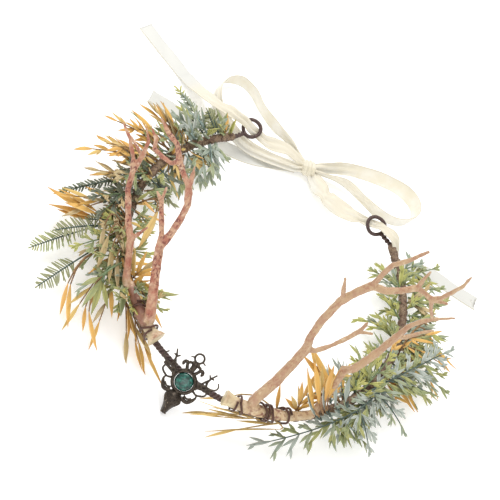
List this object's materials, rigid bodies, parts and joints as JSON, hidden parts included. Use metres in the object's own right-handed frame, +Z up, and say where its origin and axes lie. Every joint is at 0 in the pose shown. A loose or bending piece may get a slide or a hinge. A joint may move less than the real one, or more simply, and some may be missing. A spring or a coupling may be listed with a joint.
{
  "type": "antler crown",
  "caption": "Open wire headpiece with two forked antlers, leaf sprigs, a stag pendant in front and a ribbon bow behind.",
  "frame": {"origin": "centre of the wire oval, on the table on which the crown lies", "axes": "+X to the wearer's left, +Y to the back of the head where the ribbon is tied, +Z up through the oval"},
  "size_m": [0.2673, 0.246, 0.1534],
  "materials": {
    "tape": "dark brown florist's tape, wound, dull",
    "wire": "dark brown wire, satin",
    "antler_pink": "peach resin with dark red speckle, matte",
    "antler_peach": "peach resin, matte",
    "binding": "brown binding wire, satin",
    "bronze": "antique dark bronze, worn edges",
    "gem": "green marbled cabochon, polished",
    "satin": "ivory satin, soft sheen",
    "leaf_ochre": "ochre leaf with browner tip, matte",
    "leaf_green": "grey green leaf, matte",
    "leaf_lime": "yellow green leaf, matte",
    "leaf_fern": "dull green frond, matte",
    "leaf_heather": "dark blue green needle, matte",
    "leaf_blue": "blue grey leaf, matte",
    "leaf_silver": "silver grey leaf, matte",
    "leaf_straw": "dry straw, matte"
  },
  "bodies": {
    "root": {"band": "tape", "eye_left": "wire", "eye_right": "wire", "antler_left": "antler_pink", "antler_right": "antler_peach", "binding_left": "binding", "binding_right": "binding", "pendant": "bronze", "stone": "gem", "knot": "satin", "ribbon_left": "satin", "ribbon_right": "satin", "loop_left": "satin", "loop_right": "satin", "ribbon_tail": "satin", "sprig_hang_a": "leaf_ochre", "sprig_hang_b": "leaf_ochre", "sprig_hang_c": "leaf_ochre", "sprig_green_a": "leaf_green", "sprig_yellow_a": "leaf_lime", "sprig_green_b": "leaf_green", "sprig_fern_a": "leaf_fern", "sprig_fern_b": "leaf_fern", "sprig_green_c": "leaf_green", "sprig_tan_a": "leaf_ochre", "sprig_yellow_b": "leaf_ochre", "sprig_dark_a": "leaf_green", "sprig_beige_a": "leaf_ochre", "sprig_heather": "leaf_heather", "sprig_green_d": "leaf_green", "sprig_willow_a": "leaf_ochre", "sprig_willow_b": "leaf_ochre", "sprig_willow_c": "leaf_ochre", "sprig_blue_a": "leaf_blue", "sprig_willow_d": "leaf_ochre", "sprig_blue_b": "leaf_blue", "sprig_top_a": "leaf_blue", "sprig_top_b": "leaf_fern", "sprig_lime_a": "leaf_lime", "sprig_in_blue": "leaf_blue", "sprig_in_yellow": "leaf_ochre", "sprig_in_fern": "leaf_fern", "sprig_in_leaf": "leaf_ochre", "sprig_straw": "leaf_straw", "sprig_star": "leaf_lime", "sprig_yellow_c": "leaf_lime", "sprig_silver_a": "leaf_silver", "sprig_silver_b": "leaf_silver", "sprig_silver_c": "leaf_blue", "sprig_lime_b": "leaf_green", "sprig_yellow_d": "leaf_ochre", "sprig_grey_a": "leaf_blue", "sprig_fern_c": "leaf_fern", "sprig_yellow_e": "leaf_ochre", "sprig_grey_b": "leaf_blue", "sprig_in_a": "leaf_green", "sprig_in_b": "leaf_green", "sprig_out_a": "leaf_green", "sprig_out_b": "leaf_green"}
  },
  "joints": []
}
